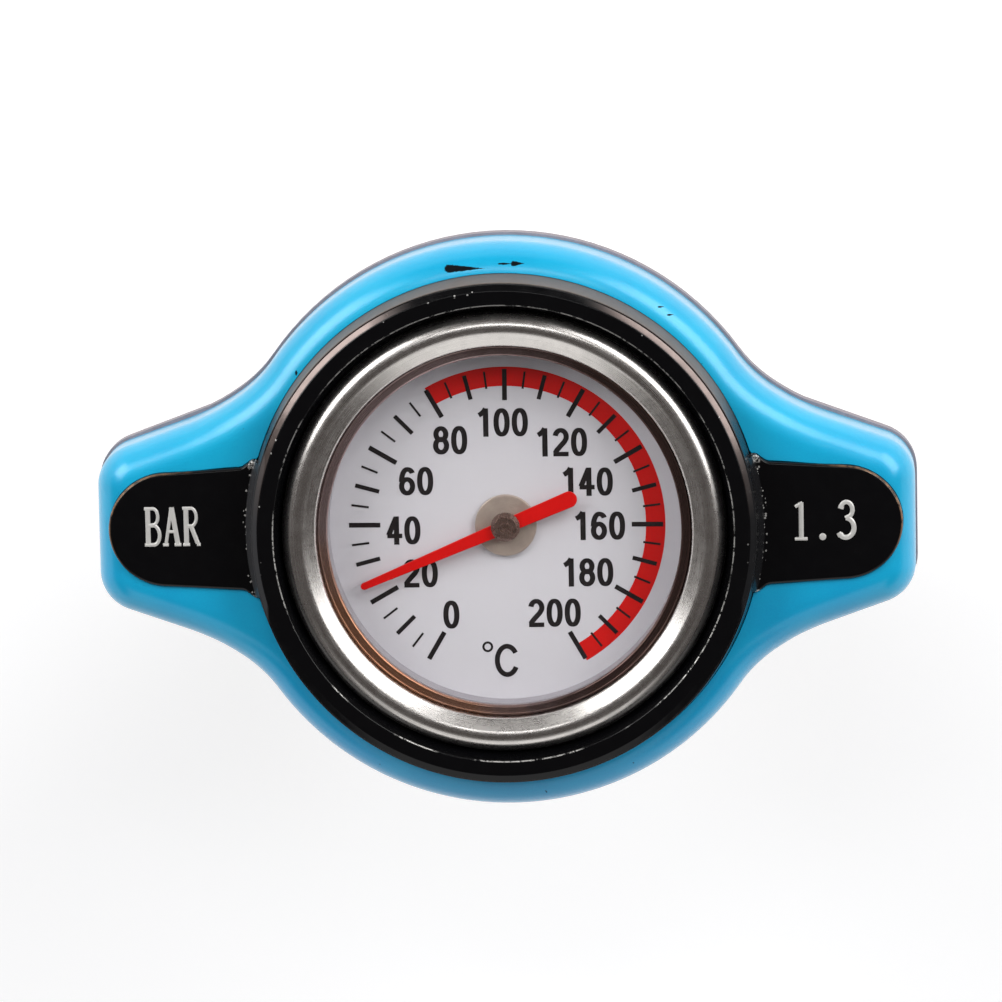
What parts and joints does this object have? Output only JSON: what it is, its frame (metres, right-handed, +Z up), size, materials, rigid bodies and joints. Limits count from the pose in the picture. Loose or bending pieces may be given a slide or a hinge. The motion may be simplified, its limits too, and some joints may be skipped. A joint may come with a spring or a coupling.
{
  "type": "radiator cap thermometer",
  "caption": "Winged pressure cap for a radiator neck, with a round dial thermometer in its top and a probe, pressure valve and vacuum valve below.",
  "frame": {"origin": "on the cap's axis, at the lower face of the neck gasket, where it lies on the radiator neck's lip", "axes": "+Z up out of the radiator, through the dial; +X along the wings, towards the right of the dial; +Y towards the top of the dial"},
  "size_m": [0.072, 0.0502, 0.055],
  "materials": {
    "cover_blue": "satin metallic blue paint",
    "casting_black": "gloss black paint",
    "bezel_steel": "bright rolled stainless steel",
    "copper_ring": "satin copper tone",
    "lens_glass": "clear",
    "spacer_grey": "dark matt",
    "dial_white": "satin white paint with printed scale",
    "nickel": "dull nickel plate",
    "pointer_red": "gloss red paint",
    "case_steel": "pressed steel",
    "zinc_steel": "zinc plated, stamped",
    "spring_steel": "drawn wire",
    "brass": "turned brass",
    "bimetal": "rolled strip",
    "rubber": "moulded black rubber",
    "guide_plastic": "white low-friction plastic"
  },
  "bodies": {
    "cap_body": {"wing_cover": "cover_blue", "core_casting": "casting_black", "bayonet_shell": "zinc_steel", "shell_rivets": "zinc_steel", "diaphragm_disc": "spring_steel", "neck_gasket": "rubber", "lock_washer": "zinc_steel", "shank_nut": "zinc_steel", "gauge_shank": "brass", "gauge_oring": "rubber", "gauge_case": "case_steel", "dial_plate": "dial_white", "dial_spacer": "spacer_grey", "lens": "lens_glass", "lens_ring": "copper_ring", "bezel_gasket": "rubber", "bezel": "bezel_steel", "dial_bush": "nickel", "bimetal_coil": "bimetal", "spindle_guide": "guide_plastic", "stem_tube": "case_steel", "stem_tip": "case_steel", "bell_retaining_ring": "spring_steel", "stem_clip": "spring_steel"},
    "pointer_set": {"pointer": "pointer_red", "pointer_hub": "nickel", "spindle": "nickel", "coil_hub": "brass"},
    "valve_cage": {"spring_bell": "zinc_steel", "main_spring": "spring_steel"},
    "pressure_valve": {"pressure_plate": "brass", "pressure_seal": "rubber", "vacuum_spring": "spring_steel", "vacuum_spring_seat": "brass"},
    "vacuum_valve": {"vacuum_disc": "brass"}
  },
  "joints": [
    {"name": "pointer_turn", "type": "hinge", "parent": "cap_body", "child": "pointer_set", "pos_m": [0, 0, 0.0082], "axis": [0, 0, -1], "range_deg": [-37.5, 262.5], "stiffness_Nm_per_rad": 0.00002, "deforming": ["bimetal_coil"]},
    {"name": "valve_swivel", "type": "hinge", "parent": "cap_body", "child": "valve_cage", "pos_m": [0, 0, -0.0005], "axis": [0, 0, 1], "continuous": true},
    {"name": "pressure_valve_lift", "type": "slide", "parent": "valve_cage", "child": "pressure_valve", "axis": [0, 0, 1], "range_m": [0, 0.003], "stiffness_N_per_m": 8000, "springref_m": -0.0071, "deforming": ["main_spring"]},
    {"name": "vacuum_valve_drop", "type": "slide", "parent": "pressure_valve", "child": "vacuum_valve", "axis": [0, 0, -1], "range_m": [0, 0.001], "stiffness_N_per_m": 500, "springref_m": -0.002, "deforming": ["vacuum_spring"]}
  ]
}
